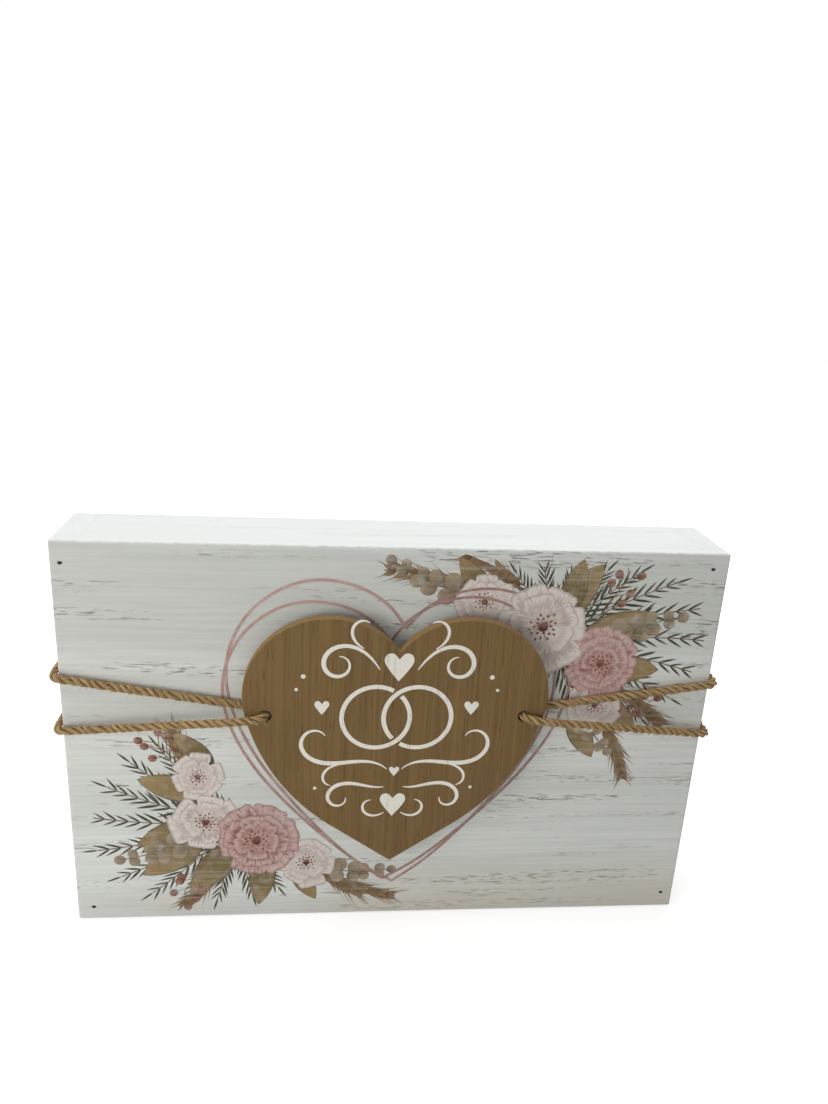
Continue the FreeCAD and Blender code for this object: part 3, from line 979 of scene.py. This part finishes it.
class Sheet:
    """Flat painted ribbons gathered into one mesh, in millimetres in the plane of the face."""

    def __init__(self):
        self.points = []
        self.faces = []
        self.along = []
        self.across = []
        self.tone = []

    def ribbon(self, line, depth, width, tone=0.5, closed=False):
        """width is one number, or a rule that gives it from 0 at the start to 1 at the end."""
        count = len(line)
        first = len(self.points)
        for number, (x, z) in enumerate(line):
            if closed:
                back = line[number - 1]
                ahead = line[(number + 1) % count]
            else:
                back = line[max(number - 1, 0)]
                ahead = line[min(number + 1, count - 1)]
            run = Vector((ahead[0] - back[0], ahead[1] - back[1]))
            run.normalize()
            share = number / max(count - 1, 1)
            half = 0.5 * (width(share) if callable(width) else width)
            for side in (-1, 0, 1):
                self.points.append((x + run.y * half * side, depth, z - run.x * half * side))
                self.along.append(share)
                self.across.append(float(side))
                self.tone.append(tone)
        for number in range(count if closed else count - 1):
            here = first + 3 * number
            there = first + 3 * ((number + 1) % count)
            for side in (0, 1):
                self.faces.append((here + side, here + side + 1, there + side + 1, there + side))

    def filled(self, line, depth, tone=0.5):
        """A closed shape filled from its middle."""
        first = len(self.points)
        middle = (sum(x for x, z in line) / len(line), sum(z for x, z in line) / len(line))
        self.points.append((middle[0], depth, middle[1]))
        self.along.append(0.0)
        self.across.append(0.0)
        self.tone.append(tone)
        for x, z in line:
            self.points.append((x, depth, z))
            self.along.append(1.0)
            self.across.append(0.5)
            self.tone.append(tone)
        count = len(line)
        for number in range(count):
            self.faces.append((first, first + 1 + number, first + 1 + (number + 1) % count))

    def piece(self, name, finish):
        mesh = bpy.data.meshes.new(name)
        mesh.from_pydata([(x * MM, y * MM, z * MM) for x, y, z in self.points], [], self.faces)
        give_attribute(mesh, "along", self.along)
        give_attribute(mesh, "across", self.across)
        give_attribute(mesh, "tone", self.tone)
        mesh.materials.append(finish)
        made = link(name, mesh)
        face_front(made)
        return made


def face_front(piece):
    """Turns every flat face towards the front."""
    work = bmesh.new()
    work.from_mesh(piece.data)
    work.normal_update()
    for face in work.faces:
        if face.normal.y > 0:
            face.normal_flip()
    work.to_mesh(piece.data)
    work.free()


def heart_line(half, turn=0.0, grow=1.0, shift=(0.0, 0.0)):
    """A whole heart outline from its right half, turned about the middle of the face."""
    right = smooth_line(half, 12)
    left = [(-x, z) for x, z in reversed(right)][1:-1]
    angle = math.radians(turn)
    line = []
    for x, z in right + left:
        x, z = x * grow, (z - 100) * grow
        line.append((
            x * math.cos(angle) - z * math.sin(angle) + shift[0],
            x * math.sin(angle) + z * math.cos(angle) + 100 + shift[1]
        ))
    return line


def ring_arc(x, z, radius, start, sweep, points=90):
    """Part of a ring, from start through sweep degrees."""
    line = []
    for number in range(points + 1):
        angle = math.radians(start + sweep * number / points)
        line.append((x + radius * math.cos(angle), z + radius * math.sin(angle)))
    return line


def flourish(x, z, heading, length, first, last, steps=60):
    """A pen's curl from x, z: it turns by first degrees a millimetre at its start and last at its end."""
    line = [(x, z)]
    piece = length / steps
    for number in range(steps):
        heading += piece * (first + (last - first) * (number + 0.5) / steps)
        x += piece * math.cos(math.radians(heading))
        z += piece * math.sin(math.radians(heading))
        line.append((x, z))
    return line


def brush(most, least=0.4):
    """Width of a brush stroke: thin, full in its middle, thin."""
    return lambda share: least + (most - least) * math.sin(math.pi * min(max(share, 0.0), 1.0)) ** 0.8


def seen_directly(tree):
    """1 for what the camera sees, straight or by a mirror or glass, and 0 for what only lights the sign."""
    path = add(tree, "ShaderNodeLightPath").outputs
    seen = sums(tree, "MAXIMUM", path["Is Camera Ray"], path["Is Glossy Ray"])
    return sums(tree, "MAXIMUM", seen, path["Is Transmission Ray"])


class SIGN_OT_stage(bpy.types.Operator):
    """Adds the camera, the lamps, the floor and the backdrop"""
    bl_idname = "sign.stage"
    bl_label = "Stage"

    def execute(self, context):
        stage = context.scene.sign.stage
        self.camera(context.scene)
        self.lamp("skylight", (-0.12, 0.06, 1.1), 0.9, stage.skylight)
        self.lamp("window", (-0.56, -0.5, 0.07), 0.6, stage.window)
        self.lamp("back_light", (0.5, 1.3, 0.5), 0.6, stage.back_light)
        self.floor(stage)
        self.backdrop(context.scene, stage)
        context.scene.view_settings.view_transform = "Standard"
        return {"FINISHED"}

    def camera(self, scene):
        lens = bpy.data.cameras.new("camera")
        lens.lens = SENSOR * FOCAL_PIXELS / PHOTO_HEIGHT
        lens.sensor_width = SENSOR
        lens.clip_start = 0.01
        camera = link("camera", lens)
        right = Vector(CAMERA_RIGHT)
        back = right.cross(Vector(CAMERA_UP)).normalized()
        turn = Matrix((right, back.cross(right), back)).transposed()
        camera.matrix_world = Matrix.Translation(CAMERA_PLACE) @ turn.to_4x4()
        scene.camera = camera

    def lamp(self, name, place, side, power):
        """A square lamp, side metres wide, aimed at the middle of the sign."""
        light = bpy.data.lights.new(name, "AREA")
        light.shape = "SQUARE"
        light.size = side
        light.energy = power
        lamp = link(name, light)
        aim = (Vector((0, 0, 0.1)) - Vector(place)).to_track_quat("-Z", "Y")
        lamp.matrix_world = Matrix.Translation(place) @ aim.to_matrix().to_4x4()
        lamp.visible_camera = False

    def floor(self, stage):
        """A pale floor that turns white further out and keeps the sign's shadow."""
        finish, tree, shader, place = new_finish("pale_floor")
        cloud = grade(tree, noise(tree, place, 3.0, 2.0), 0.3, 0.7, 0.0, 0.5)
        tone = blend(tree, cloud, stage.floor, shade(211, 211, 211))
        tree.links.new(tone, shader.inputs["Base Color"])
        shader.inputs["Roughness"].default_value = 0.9
        shader.inputs["Emission Color"].default_value = (1.0, 1.0, 1.0, 1.0)
        white = grade(tree, vector(tree, "LENGTH", place), 0.14, 0.5, 0.6, 1.0)
        tree.links.new(times(tree, seen_directly(tree), white), shader.inputs["Emission Strength"])
        half, drop = 3, 0.0003
        corners = [(-half, -half, -drop), (half, -half, -drop), (half, half, -drop), (-half, half, -drop)]
        mesh = bpy.data.meshes.new("floor")
        mesh.from_pydata(corners, [], [(0, 1, 2, 3)])
        mesh.materials.append(finish)
        link("floor", mesh)

    def backdrop(self, scene, stage):
        """White where it is seen, and even daylight from all round."""
        world = bpy.data.worlds.new("studio")
        world.use_nodes = True
        scene.world = world
        tree = world.node_tree
        strength = plus(tree, times(tree, seen_directly(tree), 1.0 - stage.daylight), stage.daylight)
        light = tree.nodes["Background"]
        light.inputs["Color"].default_value = (1.0, 1.0, 1.0, 1.0)
        tree.links.new(strength, light.inputs["Strength"])


class SIGN_OT_cord(bpy.types.Operator):
    """Lays the three-strand jute cord along its route, with its loose fibres"""
    bl_idname = "sign.cord"
    bl_label = "Jute Cord"

    def execute(self, context):
        cord = context.scene.sign.cord
        route = bpy.data.curves.new("cord_route", "CURVE")
        route.dimensions = "3D"
        spline = route.splines.new("NURBS")
        spline.points.add(len(CORD_ROUTE) - 1)
        for point, place in zip(spline.points, CORD_ROUTE):
            point.co = (place[0], place[1], place[2], 1.0)
        spline.order_u = 3
        spline.use_endpoint_u = True
        route.resolution_u = 12
        carrier = link("cord_route", route)
        view = context.evaluated_depsgraph_get()
        line = bpy.data.meshes.new_from_object(carrier.evaluated_get(view))
        bpy.data.objects.remove(carrier)
        finish = jute("jute_strands", cord)
        growing = link("cord_line", line)
        grow(growing, strands_growth(), {
            "Step": cord.step,
            "Lay Length": cord.lay_length,
            "Offset": cord.diameter * 0.258,
            "Strand Radius": cord.diameter * 0.226,
            "Finish": finish,
        })
        strands = grown(growing, "cord_strands")
        hair = self.hair()
        growing = link("fuzz_bed", strands.data.copy())
        grow(growing, fuzz_growth(), {
            "Density": cord.fuzz_density,
            "Length": cord.fuzz_length,
            "Fibre": hair,
            "Seed": context.scene.sign.seed,
            "Finish": loose_jute("jute_fuzz", cord),
        })
        fuzz = grown(growing, "cord_fuzz")
        bpy.data.objects.remove(hair)
        for piece in (strands, fuzz):
            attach(piece, "block")
        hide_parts("jute_cord")
        return {"FINISHED"}

    def hair(self):
        """One bent, tapered fibre a metre long, three-sided."""
        points, faces = [], []
        for ring, (x, z, thick) in enumerate(FIBRE_RINGS):
            for corner in range(3):
                angle = 2 * math.pi * corner / 3
                points.append((x + thick * math.cos(angle), thick * math.sin(angle), z))
            if ring:
                low = 3 * ring
                for corner in range(3):
                    after = (corner + 1) % 3
                    faces.append((low - 3 + corner, low - 3 + after, low + after, low + corner))
        points.append(FIBRE_TIP)
        for corner in range(3):
            faces.append((6 + corner, 6 + (corner + 1) % 3, 9))
        faces.append((2, 1, 0))
        mesh = bpy.data.meshes.new("fibre")
        mesh.from_pydata(points, [], faces)
        return link("fibre", mesh)


class SIGN_OT_boards(bpy.types.Operator):
    """Whitewashes the five boards of the block"""
    bl_idname = "sign.boards"
    bl_label = "Boards"

    def execute(self, context):
        wood = context.scene.sign.wood
        level = painted_wood("whitewashed_wood", wood, (1, 0, 0))
        upright = painted_wood("whitewashed_wood_upright", wood, (0, 0, 1))
        for name in ("face_board", "top_board", "bottom_board"):
            dress(name, level)
        for name in ("left_board", "right_board"):
            dress(name, upright)
        return {"FINISHED"}


class SIGN_OT_brads(bpy.types.Operator):
    """Darkens the steel brads"""
    bl_idname = "sign.brads"
    bl_label = "Brads"

    def execute(self, context):
        steel = dark_steel("brad_steel", context.scene.sign.wood)
        dress("face_brads", steel)
        dress("side_brads", steel)
        return {"FINISHED"}


class SIGN_OT_heart(bpy.types.Operator):
    """Stains the heart plaque"""
    bl_idname = "sign.heart"
    bl_label = "Heart Plaque"

    def execute(self, context):
        dress("heart_plaque", stained_wood("stained_wood", context.scene.sign.wood))
        return {"FINISHED"}


class SIGN_OT_ornament(bpy.types.Operator):
    """Paints two linked rings, scrolls and small hearts on the plaque in white"""
    bl_idname = "sign.ornament"
    bl_label = "Painted Ornament"

    def execute(self, context):
        paint = Sheet()
        back, front = ORNAMENT_DEPTH, ORNAMENT_DEPTH - STROKE_STEP
        # two rings, of which each has a gap where the other passes over it
        paint.ribbon(ring_arc(-9.5, 116.5, 15.5, 60.5, 343.4), back, 2.1)
        paint.ribbon(ring_arc(9.5, 116.5, 15.5, 240.5, 343.4), front, 2.1)
        half = smooth_line(SMALL_HEART, 6)
        heart = half + [(-x, z) for x, z in reversed(half)][1:-1]
        for x, z, scale in ((0, 141.0, 1.0), (0, 69.5, 0.9), (-34, 121, 0.5), (34, 121, 0.5), (0, 88, 0.36)):
            paint.filled([(x + across * scale, z + up * scale) for across, up in heart], back)
        # each stroke's start, heading, length, turn a millimetre at its start and end, width and depth
        pen_strokes = (
            (8.5, 140.5, 58, 60, -0.6, -13.2, 2.1, back),
            (16.0, 150.8, 30, 21, 3.0, 15.0, 1.4, front),
            (3.5, 89.5, 50, 62, -5.6, 11.6, 2.2, back),
            (25.5, 92.0, -10, 17, -3.0, -16.0, 1.3, front),
            (4.5, 80.0, -12, 44, 5.0, -17.0, 1.9, back),
            (4.0, 66.0, -40, 19, 6.0, 17.0, 1.3, back),
        )
        for x, z, heading, length, first, last, most, depth in pen_strokes:
            line = flourish(x, z, heading, length, first, last)
            for side in (-1, 1):
                paint.ribbon([(side * across, up) for across, up in line], depth, brush(most))
        for x, z, radius in ((42.5, 137, 1.1), (45.5, 130.5, 0.8), (36.5, 79.5, 0.8)):
            for side in (-1, 1):
                paint.filled(ring_arc(side * x, z, radius, 0, 345, 23), back)
        piece = paint.piece("painted_ornament", chalk_paint("chalk_paint", context.scene.sign.print.chalk))
        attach(piece, "heart")
        return {"FINISHED"}


class SIGN_OT_heart_lines(bpy.types.Operator):
    """Prints the two thin heart outlines on the face"""
    bl_idname = "sign.heart_lines"
    bl_label = "Heart Lines"

    def execute(self, context):
        ink = context.scene.sign.print
        lines = Sheet()
        width = ink.line_width / MM
        lines.ribbon(heart_line(HALF_HEART, -2.2, 0.985, (1.0, 2.0)), LINE_DEPTHS[0], width, 0.4, True)
        lines.ribbon(heart_line(HALF_HEART, 2.6, 0.95, (-1.0, -2.5)), LINE_DEPTHS[1], width, 0.6, True)
        finish = print_finish("rose_line_ink", ink.line, ink.line, shade(196, 156, 146), 0.2)
        piece = lines.piece("printed_heart_lines", finish)
        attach(piece, "block")
        return {"FINISHED"}


class SIGN_OT_sprays(bpy.types.Operator):
    """Prints the two sprays of blossoms, leaves, ears and berries on the face"""
    bl_idname = "sign.sprays"
    bl_label = "Printed Sprays"

    def execute(self, context):
        ink = context.scene.sign.print
        spray = Spray(context.scene.sign.seed)
        lay_out_upper_right(spray)
        lay_out_lower_left(spray)
        if not spray.places:
            raise RuntimeError("the sprays came out empty")
        shapes = {
            "needle": leaf_shape("needle", 0.42, 1.0, 6, 2),
            "awn": leaf_shape("awn", 0.3, 1.0, 4, 2),
            "grain": leaf_shape("grain", 0.4, 0.8, 6, 4),
            "lance": leaf_shape("lance", 0.42, 0.85, 14, 8),
            "round": leaf_shape("round", 0.52, 0.55, 12, 6),
            "berry": leaf_shape("berry", 0.5, 0.5, 10, 6),
            "rose": petal_shape("rose_petal", 44, 0.05, 0.08),
            "blush": petal_shape("blush_petal", 40, 0.035, 0.1),
            "eye": leaf_shape("eye", 0.5, 0.5, 10, 6),
            "anther": leaf_shape("anther", 0.5, 0.5, 6, 4),
        }
        # each ink's name, colours from root to tip, and then its veins, tooth, hollows and pale places
        inks = {
            "needle": ("pine_ink", shade(34, 35, 27), ink.pine, shade(78, 78, 61), 0.3, 0.1, 0.0, 0.12),
            "awn": ("awn_ink", ink.tan, ink.tan, shade(136, 112, 82), 0.1),
            "grain": ("grain_ink", shade(60, 43, 27), ink.tan, shade(152, 124, 88), 0.6, 0.2, 0.0, 0.2),
            "lance": ("olive_ink", shade(54, 49, 27), ink.olive, shade(160, 136, 94), 0.75, 0.2, 0.0, 0.24),
            "round": ("sage_ink", shade(88, 70, 52), shade(126, 112, 88), shade(168, 150, 122), 0.5),
            "berry": ("rust_ink", shade(74, 42, 32), ink.rust, shade(160, 108, 82), 0.4),
            "rose": ("rose_ink", ink.crimson, ink.rose, shade(206, 174, 166), 0.8, 0.18, 0.76, 0.26),
            "blush": ("blush_ink", shade(128, 88, 84), ink.blush, shade(228, 219, 210), 0.52, 0.2, 0.46),
            "eye": ("eye_ink", shade(60, 26, 26), shade(96, 46, 40), shade(140, 92, 58), 0.5),
            "anther": ("anther_ink", shade(70, 24, 30), shade(98, 44, 40), shade(146, 98, 62), 0.3),
        }
        growth = motif_growth()
        for kind, places in spray.places.items():
            mesh = bpy.data.meshes.new(kind)
            mesh.from_pydata([(x * MM, y * MM, z * MM) for x, y, z, *rest in places], [], [])
            for name, number in (("turn", 3), ("long", 4), ("wide", 5), ("tone", 6)):
                give_attribute(mesh, name, [entry[number] for entry in places])
            carrier = link(kind, mesh)
            grow(carrier, growth, {"Motif": shapes[kind], "Scale": MM, "Finish": print_finish(*inks[kind])})
            self.keep(grown(carrier, "printed_" + kind))
        for shape in shapes.values():
            bpy.data.objects.remove(shape)
        stems = Sheet()
        for points, depth, width, tone in spray.lines:
            stems.ribbon(points, depth, width, tone)
        self.keep(stems.piece("printed_stems", print_finish("stem_ink", ink.tan, ink.olive, ink.tan, 0.2)))
        return {"FINISHED"}

    def keep(self, piece):
        face_front(piece)
        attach(piece, "block")


def dress(node, finish):
    """Gives a CAD node its finish."""
    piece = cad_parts[node]
    piece.data.materials.clear()
    piece.data.materials.append(finish)


class SIGN_PT_panel(bpy.types.Panel):
    """Lists the sign's pieces and their values"""
    bl_label = "Table Sign"
    bl_idname = "SIGN_PT_panel"
    bl_space_type = "VIEW_3D"
    bl_region_type = "UI"
    bl_category = "Table Sign"

    def draw(self, context):
        sign = context.scene.sign
        for title, group, operators in (
            ("Stage", sign.stage, ("sign.stage",)),
            ("Cord", sign.cord, ("sign.cord",)),
            ("Wood", sign.wood, ("sign.boards", "sign.brads", "sign.heart")),
            ("Print", sign.print, ("sign.heart_lines", "sign.sprays", "sign.ornament")),
        ):
            box = self.layout.box()
            box.label(text=title)
            for name in group.__annotations__:
                box.prop(group, name)
            for operator in operators:
                box.operator(operator)
        self.layout.prop(sign, "seed")


CLASSES = (
    SIGN_PG_cord, SIGN_PG_wood, SIGN_PG_print, SIGN_PG_stage, SIGN_PG_sign,
    SIGN_OT_stage, SIGN_OT_cord, SIGN_OT_boards, SIGN_OT_brads, SIGN_OT_heart, SIGN_OT_ornament,
    SIGN_OT_heart_lines, SIGN_OT_sprays, SIGN_PT_panel,
)


def register():
    for entry in CLASSES:
        bpy.utils.register_class(entry)
    bpy.types.Scene.sign = PointerProperty(type=SIGN_PG_sign)


def unregister():
    del bpy.types.Scene.sign
    for entry in reversed(CLASSES):
        bpy.utils.unregister_class(entry)


def main():
    register()
    bpy.ops.sign.stage()
    bpy.ops.sign.cord()
    bpy.ops.sign.boards()
    bpy.ops.sign.brads()
    bpy.ops.sign.heart()
    bpy.ops.sign.ornament()
    bpy.ops.sign.heart_lines()
    bpy.ops.sign.sprays()


if __name__ == "__main__":
    main()
